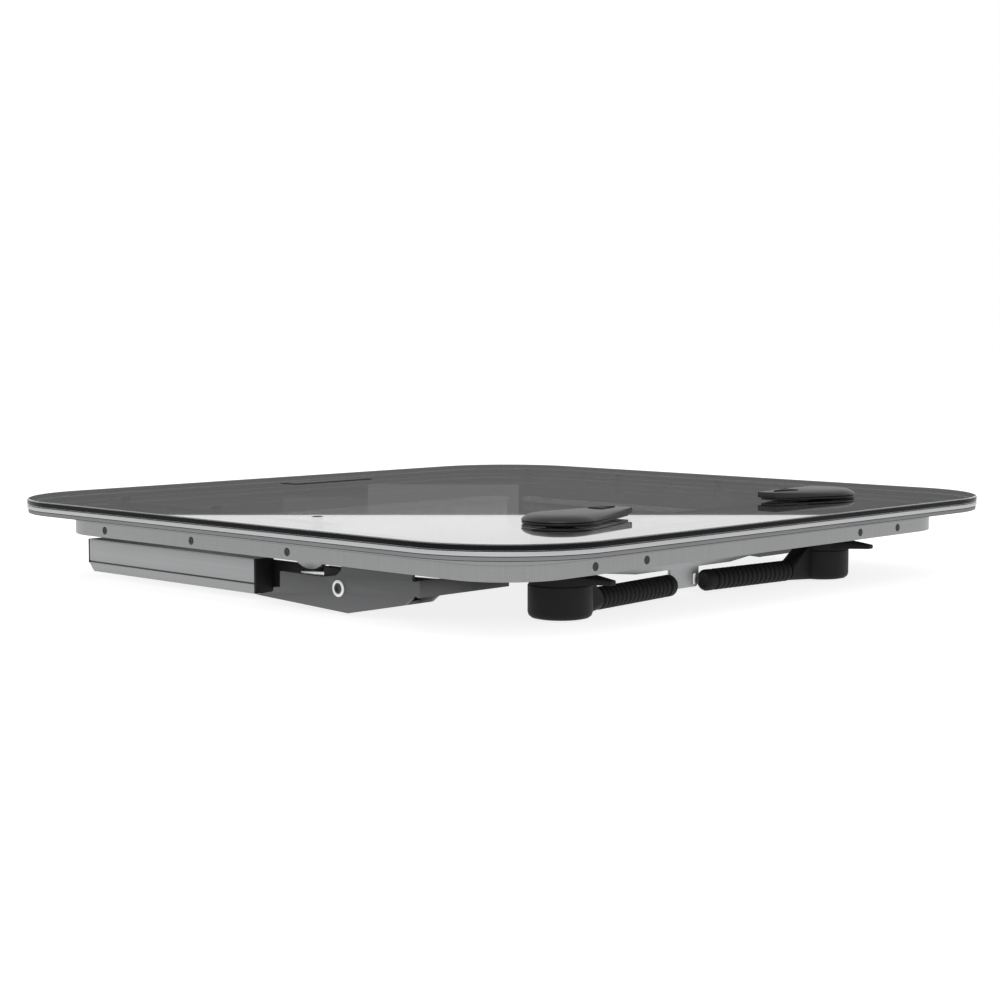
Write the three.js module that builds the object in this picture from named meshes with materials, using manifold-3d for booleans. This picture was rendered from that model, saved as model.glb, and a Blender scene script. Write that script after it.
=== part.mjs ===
// A low-profile deck hatch: a smoked acrylic lid over an aluminium deck frame, carried by two
// lifting hinge arms and held shut by two quarter-turn handles.
// Millimetres, +Z up, +X along the hinge line, +Y towards the hinge side.
// The origin is the middle of the deck cut-out, in the plane of the deck's top surface.
import * as THREE from "three";
import { mergeVertices } from "three/addons/utils/BufferGeometryUtils.js";
import Module from "manifold-3d";

const wasm = await Module();
wasm.setup();

// Driving dimensions.
const LID_WIDTH = 640;
const LID_DEPTH = 615;
const CORNER_RADIUS = 92;

const GASKET_THICKNESS = 3.4;
const FLANGE_THICKNESS = 3.1;
const LID_CLEARANCE = 0.3;
const PANE_THICKNESS = 4.7;
const GASKET_INSET = 0.8;
const SKIRT_INSET = 39.5;
const SKIRT_WALL = 5;
const SKIRT_BOTTOM = -18.5;
const REBATE_INSET = 36.5;
const REBATE_FLOOR = 4.4;
const SEAL = { outer: 40, inner: 44.4, bottom: 4.7 };

const FLANGE_TOP = GASKET_THICKNESS + FLANGE_THICKNESS;
const PANE_BOTTOM = FLANGE_TOP + LID_CLEARANCE;
const PANE_TOP = PANE_BOTTOM + PANE_THICKNESS;
const SKIRT_INNER_INSET = SKIRT_INSET + SKIRT_WALL;

const SCREW_HEAD_RADIUS = 3.2;
const SCREW_HEAD_DEPTH = 1.6;
const SCREW_SHANK_RADIUS = 1.7;
const SCREW_DROP = -12.6;
const SIDE_SCREW_PLACES = [265.4, 381.3, 497.3];
const STUD_RADIUS = 4.5;
const STUD_SHANK_RADIUS = 2.4;
const STUD_INSET = 72.2;
const STUD_PLACES = [268.5, 390.5, 512.5];

// The hinge on each side: the arm turns on the pivot near the front and carries the lid at its rear.
const PIVOT = { y: 223.6, z: -37.2, radius: 3.8 };
const LID_HINGE = { y: 528, z: -35.5, radius: 4 };
const ARM = { outer: 53.7, inner: 71.8, front: 321.8, rear: 540.2, top: -23.3, bottom: -50.3, wall: 2 };
const ARM_REAR_CHAMFER = 6;
const ARM_GROOVE = { z: -42.3, half: 0.6, depth: 0.8 };
const ROOT = { outer: 71.9, inner: 76.9, rear: 380, half: 11.5 };
const BRACKET = { outer: 53.2, inner: 82, sheet: 3 };
const WING = { front: 138, rear: 141, reach: 144, top: -24.9, bottom: -36.5 };
const MOUNT_RAIL = { front: 145, rear: 515, top: -5.5, bottom: -18.3 };
const LID_RAIL = { outer: 62, inner: 80, front: 250, rear: 535, bottom: -3 };
const REST_CAM = { y: 269.2, outer: 64.5, inner: 69.5, radius: 24.7 };

// The two handles turn on vertical spindles near the front edge.
const HANDLE_X = 165;
const HANDLE_FROM_FRONT = 97.4;
const SPINDLE_RADIUS = 7;
const HUB = { radius: 23.75, top: -22.5, bottom: -56.5, edge: 4 };
const DOG = { reach: 50.4, half: 17, bottom: -31 };
const LEVER = { z: -47.6, radius: 8.6, core: 5, neckEnd: 44, end: 144.5, rest: 5.3 };
const NECK = { start: 17, half: 7.6, top: -26, bottom: -56 };
const OUTER_HANDLE = { radius: 28.5, tip: 73, tipHalf: 9.5, height: 9.5, rest: 2.6 };
const STRIKER = { half: 36, thickness: 2, top: -4, bottom: -17 };
const STRIKER_SCREW_SPREAD = 28;
const BRIDGE = { half: 130, front: 113, web: 3, flange: 17, end: -19, shoulder: 108, low: -31, bottom: -36 };
const TONGUE = { half: 18, bottom: -52 };
const CATCH = { from: 9.5, to: 14.8, bottom: -50, top: -41 };
const BADGE = { half: 47, front: 530, rear: 552, height: 0.7 };

const GAP = 0.1;
const TURN_GAP = 0.3;
const ROUND_STEPS = 20;
const CORNER_STEPS = 9;
const GRIP_STEPS = 14;

// Finishes.
const FINISHES = {
  acrylic: { color: 0x2c2e30, roughness: 0.05, metalness: 0, transparent: true, opacity: 0.8 },
  aluminium: { color: 0xb4b6b7, roughness: 0.4, metalness: 0.9 },
  brushed: { color: 0x9a9c9d, roughness: 0.45, metalness: 0.9 },
  darkSteel: { color: 0x6a6c6d, roughness: 0.5, metalness: 0.6 },
  steel: { color: 0xcfd1d2, roughness: 0.2, metalness: 1 },
  gasket: { color: 0x66686a, roughness: 0.9, metalness: 0 },
  rubber: { color: 0x121314, roughness: 0.8, metalness: 0 },
  blackPlastic: { color: 0x1a1b1c, roughness: 0.5, metalness: 0 },
  whiteNylon: { color: 0xe6e7e8, roughness: 0.5, metalness: 0 },
};
const materials = Object.fromEntries(
  Object.entries(FINISHES).map(([name, look]) => [name, new THREE.MeshStandardMaterial(look)]),
);

const hatch = new THREE.Group();

// Places: an inset is measured inwards from the lid's left or right edge, side -1 or +1, and a
// distance from the front edge becomes a Y.
const atSide = (side, inset) => side * (LID_WIDTH / 2 - inset);
const fromFront = (distance) => distance - LID_DEPTH / 2;

// A manifold solid of a closed three.js geometry.
function solid(geometry) {
  const bare = new THREE.BufferGeometry();
  const source = geometry.index ? geometry.toNonIndexed() : geometry;
  bare.setAttribute("position", source.getAttribute("position"));
  const merged = mergeVertices(bare, 1e-4);
  return new wasm.Manifold(
    new wasm.Mesh({
      numProp: 3,
      vertProperties: merged.getAttribute("position").array,
      triVerts: new Uint32Array(merged.index.array),
    }),
  );
}

const join = (first, ...others) => others.reduce((whole, piece) => whole.add(piece), first);
const cut = (first, ...others) => others.reduce((whole, piece) => whole.subtract(piece), first);

// Adds a solid to the hatch as a named mesh.
function place(name, piece, finish) {
  const { vertProperties, triVerts } = piece.getMesh();
  const geometry = new THREE.BufferGeometry();
  geometry.setAttribute("position", new THREE.BufferAttribute(vertProperties, 3));
  geometry.setIndex(new THREE.BufferAttribute(triVerts, 1));
  geometry.computeVertexNormals();
  const mesh = new THREE.Mesh(geometry, materials[finish]);
  mesh.name = name;
  hatch.add(mesh);
}

function box(xs, ys, zs) {
  const [x0, x1] = [Math.min(...xs), Math.max(...xs)];
  const geometry = new THREE.BoxGeometry(x1 - x0, ys[1] - ys[0], zs[1] - zs[0]);
  geometry.translate((x0 + x1) / 2, (ys[0] + ys[1]) / 2, (zs[0] + zs[1]) / 2);
  return solid(geometry);
}

// A flat outline in X and Y, raised from one height to another.
function raised(shape, bottom, top) {
  const geometry = new THREE.ExtrudeGeometry(shape, {
    depth: top - bottom,
    bevelEnabled: false,
    curveSegments: CORNER_STEPS,
  });
  geometry.translate(0, 0, bottom);
  return solid(geometry);
}

// A side outline in Y and Z, swept between two X places.
function sideways(shape, xs) {
  const [x0, x1] = [Math.min(...xs), Math.max(...xs)];
  const geometry = new THREE.ExtrudeGeometry(shape, {
    depth: x1 - x0,
    bevelEnabled: false,
    curveSegments: CORNER_STEPS,
  });
  const yAxis = new THREE.Vector3(0, 1, 0);
  const zAxis = new THREE.Vector3(0, 0, 1);
  const xAxis = new THREE.Vector3(1, 0, 0);
  geometry.applyMatrix4(new THREE.Matrix4().makeBasis(yAxis, zAxis, xAxis));
  geometry.translate(x0, 0, 0);
  return solid(geometry);
}

const outline = (points) => new THREE.Shape(points.map(([a, b]) => new THREE.Vector2(a, b)));

function rod(radius, length, steps = ROUND_STEPS) {
  return new THREE.CylinderGeometry(radius, radius, length, steps);
}

function uprightRod(radius, x, y, bottom, top) {
  const geometry = rod(radius, top - bottom);
  geometry.rotateX(Math.PI / 2);
  geometry.translate(x, y, (bottom + top) / 2);
  return solid(geometry);
}

function crossRod(radius, xs, y, z) {
  const [x0, x1] = [Math.min(...xs), Math.max(...xs)];
  const geometry = rod(radius, x1 - x0);
  geometry.rotateZ(Math.PI / 2);
  geometry.translate((x0 + x1) / 2, y, z);
  return solid(geometry);
}

function depthRod(radius, x, ys, z) {
  const geometry = rod(radius, ys[1] - ys[0]);
  geometry.translate(x, (ys[0] + ys[1]) / 2, z);
  return solid(geometry);
}

// The lid's outline, pulled in by an inset.
function lidOutline(inset) {
  const x = LID_WIDTH / 2 - inset;
  const y = LID_DEPTH / 2 - inset;
  const r = CORNER_RADIUS - inset;
  const shape = new THREE.Shape();
  shape.absarc(x - r, y - r, r, 0, Math.PI / 2);
  shape.absarc(-x + r, y - r, r, Math.PI / 2, Math.PI);
  shape.absarc(-x + r, -y + r, r, Math.PI, 1.5 * Math.PI);
  shape.absarc(x - r, -y + r, r, 1.5 * Math.PI, 2 * Math.PI);
  return shape;
}

function ring(outerInset, innerInset, bottom, top) {
  const shape = lidOutline(outerInset);
  shape.holes.push(new THREE.Path(lidOutline(innerInset).getPoints(CORNER_STEPS)));
  return raised(shape, bottom, top);
}

function circle(radius, x, y) {
  const path = new THREE.Path();
  path.absarc(x, y, radius, 0, 2 * Math.PI);
  return path;
}

// Frame.
function deckFrame() {
  const headHoles = [];
  for (const side of [-1, 1]) {
    for (const place of SIDE_SCREW_PLACES) {
      const y = fromFront(place);
      const face = atSide(side, SKIRT_INSET - 1);
      const seat = atSide(side, SKIRT_INSET + SCREW_HEAD_DEPTH + GAP);
      headHoles.push(crossRod(SCREW_HEAD_RADIUS + GAP, [face, seat], y, SCREW_DROP));
      const through = [face, atSide(side, SKIRT_INNER_INSET + 1)];
      headHoles.push(crossRod(SCREW_SHANK_RADIUS + GAP, through, y, SCREW_DROP));
    }
    for (const spread of [-STRIKER_SCREW_SPREAD, STRIKER_SCREW_SPREAD]) {
      const x = side * HANDLE_X + spread;
      const face = fromFront(SKIRT_INSET - 1);
      const seat = fromFront(SKIRT_INSET + SCREW_HEAD_DEPTH + GAP);
      headHoles.push(depthRod(SCREW_HEAD_RADIUS + GAP, x, [face, seat], SCREW_DROP));
      const through = [face, fromFront(SKIRT_INNER_INSET + 1)];
      headHoles.push(depthRod(SCREW_SHANK_RADIUS + GAP, x, through, SCREW_DROP));
    }
  }
  const body = join(
    ring(0, SKIRT_INNER_INSET, GASKET_THICKNESS, FLANGE_TOP),
    ring(SKIRT_INSET, SKIRT_INNER_INSET, SKIRT_BOTTOM, GASKET_THICKNESS + 0.5),
  );
  const rebate = ring(REBATE_INSET, SKIRT_INNER_INSET + 1, REBATE_FLOOR, FLANGE_TOP + 1);
  place("deck_frame", cut(body, rebate, ...headHoles), "brushed");
}

// The deck gasket lies under the flange; the lid seal is bonded to the pane and lands in the rebate.
function seals() {
  place("deck_gasket", ring(GASKET_INSET, SKIRT_INSET - GAP, 0, GASKET_THICKNESS), "gasket");
  place("lid_seal", ring(SEAL.outer, SEAL.inner, SEAL.bottom, PANE_BOTTOM), "rubber");
}

function skirtScrews() {
  const sides = [
    [-1, "left"],
    [1, "right"],
  ];
  for (const [side, word] of sides) {
    SIDE_SCREW_PLACES.forEach((along, i) => {
      const y = fromFront(along);
      const face = atSide(side, SKIRT_INSET);
      const seat = atSide(side, SKIRT_INSET + SCREW_HEAD_DEPTH);
      const tip = atSide(side, SKIRT_INNER_INSET + 6);
      const head = crossRod(SCREW_HEAD_RADIUS, [face, seat], y, SCREW_DROP);
      const shank = crossRod(SCREW_SHANK_RADIUS, [face, tip], y, SCREW_DROP);
      place(`side_screw_${word}_${i + 1}`, join(head, shank), "steel");
    });
    [-1, 1].forEach((end, i) => {
      const x = side * HANDLE_X + end * STRIKER_SCREW_SPREAD;
      const face = fromFront(SKIRT_INSET);
      const seat = fromFront(SKIRT_INSET + SCREW_HEAD_DEPTH);
      const head = depthRod(SCREW_HEAD_RADIUS, x, [face, seat], SCREW_DROP);
      const tail = fromFront(SKIRT_INNER_INSET + STRIKER.thickness - GAP);
      const shank = depthRod(SCREW_SHANK_RADIUS, x, [face, tail], SCREW_DROP);
      place(`striker_screw_${word}_${i + 1}`, join(head, shank), "steel");
    });
  }
}

// The plate that each handle's dog closes against, behind the front skirt.
function striker(side, word) {
  const x = side * HANDLE_X;
  const front = fromFront(SKIRT_INNER_INSET);
  const back = fromFront(SKIRT_INNER_INSET + STRIKER.thickness);
  const plate = box([x - STRIKER.half, x + STRIKER.half], [front, back], [STRIKER.bottom, STRIKER.top]);
  const holes = [-1, 1].map((end) =>
    depthRod(SCREW_SHANK_RADIUS + GAP, x + end * STRIKER_SCREW_SPREAD, [front - 1, back + 1], SCREW_DROP),
  );
  place(`striker_${word}`, cut(plate, ...holes), "steel");
}

function mountRail(side, word) {
  const xs = [atSide(side, SKIRT_INNER_INSET), atSide(side, BRACKET.outer)];
  const ys = [fromFront(MOUNT_RAIL.front), fromFront(MOUNT_RAIL.rear)];
  const bar = box(xs, ys, [MOUNT_RAIL.bottom, MOUNT_RAIL.top]);
  const holes = SIDE_SCREW_PLACES.map((along) => {
    const reach = [atSide(side, SKIRT_INNER_INSET - 1), atSide(side, SKIRT_INNER_INSET + 6 + GAP)];
    return crossRod(SCREW_SHANK_RADIUS + GAP, reach, fromFront(along), SCREW_DROP);
  });
  place(`mount_rail_${word}`, cut(bar, ...holes), "aluminium");
}

// A folded bracket: an outer and an inner cheek either side of the arm's root, a floor that joins
// them under the pivot, and a wing that ties their front ends and reaches in across the opening.
function hingeBracket(side, word) {
  const cheek = (points, inset) =>
    sideways(outline(points.map(([y, z]) => [fromFront(y), z])), [
      atSide(side, inset),
      atSide(side, inset + BRACKET.sheet),
    ]);
  const lower = [
    [147.1, -37.9],
    [154.3, -43.2],
    [213.6, -54.7],
  ];
  const upper = [
    [298.6, -46.2],
    [297.7, -42.8],
    [290.3, -42.1],
    [290.1, -30.1],
    [243.1, -30.4],
    [226.5, -27.9],
    [220.9, -23.8],
    [220.9, -6],
  ];
  const frontEdge = [
    [146, -6],
    [146, -23.6],
    [143, -27.9],
  ];
  const outer = cheek([...frontEdge, ...lower, [318.9, -50.4], ...upper], BRACKET.outer);
  const innerInset = BRACKET.inner - BRACKET.sheet;
  const inner = cheek([[139.5, -26], [139.5, -35.5], ...lower, [300, -51.2], [290, -30.2]], innerInset);
  const floorPoints = [
    [165, -45.3],
    [213.6, -54.7],
    [245, -53.4],
    [245, -51.4],
    [213.6, -52.4],
    [165, -42.8],
  ];
  const floor = sideways(outline(floorPoints.map(([y, z]) => [fromFront(y), z])), [
    atSide(side, BRACKET.outer + 1),
    atSide(side, BRACKET.inner - 1),
  ]);
  const wing = box(
    [atSide(side, BRACKET.outer), atSide(side, WING.reach)],
    [fromFront(WING.front), fromFront(WING.rear)],
    [WING.bottom, WING.top],
  );
  const outerXs = [atSide(side, BRACKET.outer), atSide(side, BRACKET.outer + BRACKET.sheet)];
  const cornerYs = [fromFront(WING.front + 1), fromFront(148)];
  const corner = box(outerXs, cornerYs, [WING.bottom + 0.5, WING.top - 0.5]);
  const hole = crossRod(
    PIVOT.radius + GAP,
    [atSide(side, BRACKET.outer - 1), atSide(side, BRACKET.inner + 1)],
    fromFront(PIVOT.y),
    PIVOT.z,
  );
  place(`hinge_bracket_${word}`, cut(join(outer, corner, inner, floor, wing), hole), "darkSteel");
}

function pivotParts(side, word) {
  const y = fromFront(PIVOT.y);
  const end = atSide(side, BRACKET.outer - 1.4);
  const shank = crossRod(PIVOT.radius, [end, atSide(side, BRACKET.inner + 4)], y, PIVOT.z);
  const nut = crossRod(6.5, [atSide(side, BRACKET.inner), atSide(side, BRACKET.inner + 4)], y, PIVOT.z);
  place(`pivot_bolt_${word}`, join(shank, nut), "steel");
  const washer = crossRod(6.2, [atSide(side, BRACKET.outer - 1), atSide(side, BRACKET.outer)], y, PIVOT.z);
  const bore = crossRod(PIVOT.radius + GAP, [end, atSide(side, BRACKET.outer + 1)], y, PIVOT.z);
  place(`pivot_washer_${word}`, cut(washer, bore), "whiteNylon");
}

// A nylon block on the bracket's top edge holds a leaf spring for the lid's rest cam.
function restParts(side, word) {
  const xs = [atSide(side, BRACKET.outer + BRACKET.sheet), atSide(side, 63)];
  const head = box(xs, [fromFront(223.7), fromFront(243.6)], [-30.4, -22.7]);
  const foot = box(xs, [fromFront(230), fromFront(243.6)], [-40, -30]);
  place(`stop_block_${word}`, join(head, foot), "blackPlastic");
  const points = [
    [243.6, -30.1],
    [270.4, -30.1],
    [270.4, -28.9],
    [243.6, -27.1],
  ];
  const blade = outline(points.map(([y, z]) => [fromFront(y), z]));
  place(`spring_blade_${word}`, sideways(blade, [atSide(side, 57), atSide(side, 63)]), "aluminium");
}

// Lifting arm.
function armBox(side, word) {
  const ys = [fromFront(ARM.front), fromFront(ARM.rear)];
  const profile = outline([
    [ys[0], ARM.bottom],
    [ys[1] - ARM_REAR_CHAMFER, ARM.bottom],
    [ys[1], ARM.bottom + ARM_REAR_CHAMFER],
    [ys[1], ARM.top],
    [ys[0], ARM.top],
  ]);
  const body = sideways(profile, [atSide(side, ARM.outer), atSide(side, ARM.inner)]);
  const hollow = box(
    [atSide(side, ARM.outer + ARM.wall), atSide(side, ARM.inner - ARM.wall)],
    [ys[0] - 1, ys[1] + 1],
    [ARM.bottom + ARM.wall, ARM.top - ARM.wall],
  );
  const groove = box(
    [atSide(side, ARM.outer - 1), atSide(side, ARM.outer + ARM_GROOVE.depth)],
    [ys[0] - 1, ys[1] + 1],
    [ARM_GROOVE.z - ARM_GROOVE.half, ARM_GROOVE.z + ARM_GROOVE.half],
  );
  const pinHole = crossRod(
    LID_HINGE.radius + GAP,
    [atSide(side, ARM.inner - ARM.wall - 1), atSide(side, ARM.inner + 1)],
    fromFront(LID_HINGE.y),
    LID_HINGE.z,
  );
  place(`arm_box_${word}`, cut(body, hollow, groove, pinHole), "aluminium");
}

function armEnds(side, word) {
  const front = fromFront(ARM.front);
  const xs = [atSide(side, ARM.outer), atSide(side, ARM.inner)];
  place(`arm_front_cap_${word}`, box(xs, [front - 2.5, front], [ARM.bottom, ARM.top]), "blackPlastic");
  const rear = fromFront(ARM.rear);
  const lip = ARM.bottom + ARM_REAR_CHAMFER + 0.5;
  const cap = box(xs, [rear, rear + 2], [lip, ARM.top]);
  const inside = [atSide(side, ARM.outer + ARM.wall + GAP), atSide(side, ARM.inner - ARM.wall - GAP)];
  const plug = box(inside, [rear - 28, rear + 1], [lip, ARM.top - ARM.wall - GAP]);
  const pinXs = [atSide(side, 57), atSide(side, 71)];
  const pinHole = crossRod(LID_HINGE.radius + GAP, pinXs, fromFront(LID_HINGE.y), LID_HINGE.z);
  place(`arm_rear_plug_${word}`, cut(join(cap, plug), pinHole), "blackPlastic");
}

// The arm's root runs from inside the bracket, where it turns on the pivot, along the box's side.
function armRoot(side, word) {
  const y = fromFront(PIVOT.y);
  const shape = new THREE.Shape();
  shape.absarc(y, PIVOT.z, ROOT.half, Math.PI / 2, 1.5 * Math.PI);
  shape.lineTo(fromFront(ROOT.rear), PIVOT.z - ROOT.half);
  shape.lineTo(fromFront(ROOT.rear), PIVOT.z + ROOT.half);
  const plate = sideways(shape, [atSide(side, ROOT.outer), atSide(side, ROOT.inner)]);
  const through = [atSide(side, ROOT.outer - 1), atSide(side, ROOT.inner + 1)];
  const hole = crossRod(PIVOT.radius + TURN_GAP, through, y, PIVOT.z);
  place(`arm_root_${word}`, cut(plate, hole), "blackPlastic");
}

function lidHingePin(side, word) {
  const xs = [atSide(side, 57.2), atSide(side, 78)];
  const pin = crossRod(LID_HINGE.radius, xs, fromFront(LID_HINGE.y), LID_HINGE.z);
  place(`lid_hinge_pin_${word}`, pin, "steel");
}

// Lid.
function pane() {
  const shape = lidOutline(0);
  for (const side of [-1, 1]) {
    shape.holes.push(circle(SPINDLE_RADIUS + 3.8, side * HANDLE_X, fromFront(HANDLE_FROM_FRONT)));
    for (const along of STUD_PLACES) {
      shape.holes.push(circle(STUD_RADIUS + GAP, atSide(side, STUD_INSET), fromFront(along)));
    }
  }
  place("acrylic_pane", raised(shape, PANE_BOTTOM, PANE_TOP), "acrylic");
}

// The lid's side rail, with the hinge lug at its rear and the rest cam near its front.
function lidRail(side, word) {
  const bar = box(
    [atSide(side, LID_RAIL.outer), atSide(side, LID_RAIL.inner)],
    [fromFront(LID_RAIL.front), fromFront(LID_RAIL.rear)],
    [LID_RAIL.bottom, PANE_BOTTOM],
  );
  const lugXs = [atSide(side, ARM.inner + 0.5), atSide(side, ARM.inner + 5.5)];
  const y = fromFront(LID_HINGE.y);
  const lug = join(
    box(lugXs, [y - 9, fromFront(LID_RAIL.rear)], [LID_HINGE.z, LID_RAIL.bottom + 1]),
    crossRod(9, lugXs, y, LID_HINGE.z),
  );
  const cam = new THREE.Shape();
  cam.absarc(fromFront(REST_CAM.y), LID_RAIL.bottom, REST_CAM.radius, Math.PI, 2 * Math.PI);
  cam.lineTo(fromFront(REST_CAM.y) + REST_CAM.radius, LID_RAIL.bottom + 1);
  cam.lineTo(fromFront(REST_CAM.y) - REST_CAM.radius, LID_RAIL.bottom + 1);
  const lobe = sideways(cam, [atSide(side, REST_CAM.outer), atSide(side, REST_CAM.inner)]);
  const through = [lugXs[0] + side, lugXs[1] - side];
  const holes = [crossRod(LID_HINGE.radius + TURN_GAP, through, y, LID_HINGE.z)];
  for (const along of STUD_PLACES) {
    const x = atSide(side, STUD_INSET);
    holes.push(uprightRod(STUD_SHANK_RADIUS + GAP, x, fromFront(along), -1, PANE_BOTTOM + 1));
  }
  place(`lid_rail_${word}`, cut(join(bar, lug, lobe), ...holes), "steel");
}

function lidStuds(side, word) {
  STUD_PLACES.forEach((along, i) => {
    const x = atSide(side, STUD_INSET);
    const y = fromFront(along);
    const head = uprightRod(STUD_RADIUS, x, y, PANE_BOTTOM, PANE_TOP);
    const shank = uprightRod(STUD_SHANK_RADIUS, x, y, 0, PANE_BOTTOM + 1);
    place(`lid_stud_${word}_${i + 1}`, join(head, shank), "blackPlastic");
  });
}

function badge() {
  const shape = outline([
    [-BADGE.half, fromFront(BADGE.front)],
    [BADGE.half, fromFront(BADGE.front)],
    [BADGE.half, fromFront(BADGE.rear)],
    [-BADGE.half, fromFront(BADGE.rear)],
  ]);
  place("blank_badge", raised(shape, PANE_TOP, PANE_TOP + BADGE.height), "aluminium");
}

// A bush through the pane carries each spindle; its housing hangs under the pane.
function handleBush(side, word) {
  const x = side * HANDLE_X;
  const y = fromFront(HANDLE_FROM_FRONT);
  const collar = uprightRod(SPINDLE_RADIUS + 3.5, x, y, PANE_BOTTOM - 1, PANE_TOP);
  const housing = uprightRod(22, x, y, HUB.top + 1, PANE_BOTTOM);
  const bore = uprightRod(SPINDLE_RADIUS + TURN_GAP, x, y, HUB.top, PANE_TOP + 1);
  place(`handle_bush_${word}`, cut(join(collar, housing), bore), "blackPlastic");
}

// A bonded angle between the handles, with a tongue that both lever tips close against.
function lockBridge() {
  const front = fromFront(BRIDGE.front);
  const half = [
    [BRIDGE.half, PANE_BOTTOM],
    [BRIDGE.half, BRIDGE.end],
    [BRIDGE.shoulder, BRIDGE.low],
    [60, BRIDGE.bottom],
    [TONGUE.half, BRIDGE.bottom],
    [TONGUE.half, TONGUE.bottom + 3],
    [TONGUE.half - 3, TONGUE.bottom],
  ];
  const mirrored = half.map(([x, z]) => [-x, z]).reverse();
  const shape = outline([...half, ...mirrored]);
  const geometry = new THREE.ExtrudeGeometry(shape, { depth: BRIDGE.web, bevelEnabled: false });
  geometry.rotateX(Math.PI / 2);
  geometry.translate(0, front + BRIDGE.web, 0);
  const flangeRear = front + BRIDGE.flange;
  const xs = [1 - BRIDGE.half, BRIDGE.half - 1];
  const flange = box(xs, [front + 1, flangeRear], [PANE_BOTTOM - 3, PANE_BOTTOM]);
  place("lock_bridge", join(solid(geometry), flange), "brushed");
  const catchPlate = box([CATCH.from, CATCH.to], [front - 1, front], [CATCH.bottom, CATCH.top]);
  place("bridge_catch", catchPlate, "aluminium");
}

// Handles.
function outerHandle(side, word) {
  const tip = -side * OUTER_HANDLE.tip;
  const r = OUTER_HANDLE.radius;
  // The straight sides leave the round end where they are tangent to it.
  const slope = Math.asin((r - OUTER_HANDLE.tipHalf) / OUTER_HANDLE.tip);
  const shape = new THREE.Shape();
  const turn = side < 0 ? 0 : Math.PI;
  shape.absarc(0, 0, r, Math.PI / 2 - slope + turn, -Math.PI / 2 + slope + turn, false);
  shape.lineTo(tip, side * OUTER_HANDLE.tipHalf);
  shape.lineTo(tip, -side * OUTER_HANDLE.tipHalf);
  const bevel = 3;
  const geometry = new THREE.ExtrudeGeometry(shape, {
    depth: OUTER_HANDLE.height - 2 * bevel,
    bevelThickness: bevel,
    bevelSize: bevel,
    bevelOffset: -bevel,
    bevelSegments: 2,
    curveSegments: GRIP_STEPS,
  });
  geometry.rotateZ((-side * OUTER_HANDLE.rest * Math.PI) / 180);
  geometry.translate(side * HANDLE_X, fromFront(HANDLE_FROM_FRONT), PANE_TOP + LID_CLEARANCE + bevel);
  place(`outer_handle_${word}`, solid(geometry), "blackPlastic");
}

function spindle(side, word) {
  const x = side * HANDLE_X;
  const y = fromFront(HANDLE_FROM_FRONT);
  place(`spindle_${word}`, uprightRod(SPINDLE_RADIUS, x, y, HUB.top, PANE_TOP + LID_CLEARANCE), "steel");
}

function roundedHub(x, y) {
  const points = [[0, HUB.bottom], [HUB.radius - HUB.edge, HUB.bottom]];
  for (let i = 1; i <= 4; i++) {
    const turn = (i * Math.PI) / 8;
    points.push([
      HUB.radius - HUB.edge + HUB.edge * Math.sin(turn),
      HUB.bottom + HUB.edge - HUB.edge * Math.cos(turn),
    ]);
  }
  points.push([HUB.radius, HUB.top], [0, HUB.top]);
  const geometry = new THREE.LatheGeometry(points.map(([r, z]) => new THREE.Vector2(r, z)), 32);
  geometry.rotateX(Math.PI / 2);
  geometry.translate(x, y, 0);
  return solid(geometry);
}

// Turns a lever's piece, made along +X from its spindle, to where the lever rests.
function atRest(geometry, side) {
  const turn = (LEVER.rest * Math.PI) / 180;
  geometry.rotateZ(side < 0 ? turn : Math.PI - turn);
  geometry.translate(side * HANDLE_X, fromFront(HANDLE_FROM_FRONT), 0);
  return solid(geometry);
}

// The inner handle: hub, dog and lever core in one casting. The lever points at the other handle.
function innerHandle(side, word) {
  const x = side * HANDLE_X;
  const y = fromFront(HANDLE_FROM_FRONT);
  const hub = roundedHub(x, y);
  const dogShape = outline([
    [x - DOG.half, y],
    [x - 3, y - DOG.reach],
    [x + 3, y - DOG.reach],
    [x + DOG.half, y],
  ]);
  const dog = raised(dogShape, DOG.bottom, HUB.top);
  const end = LEVER.neckEnd;
  const wedge = outline([
    [NECK.start, NECK.bottom],
    [end, LEVER.z - LEVER.radius + 0.4],
    [end, LEVER.z + LEVER.radius - 0.4],
    [NECK.start + 5, NECK.top],
    [NECK.start, NECK.top],
  ]);
  const neck = new THREE.ExtrudeGeometry(wedge, { depth: 2 * NECK.half, bevelEnabled: false });
  neck.rotateX(Math.PI / 2);
  neck.translate(0, NECK.half, 0);
  const coreLength = LEVER.end - 8 - 20;
  const core = rod(LEVER.core, coreLength);
  core.rotateZ(Math.PI / 2);
  core.translate(20 + coreLength / 2, 0, LEVER.z);
  place(`inner_handle_${word}`, join(hub, dog, atRest(neck, side), atRest(core, side)), "blackPlastic");
}

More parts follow.
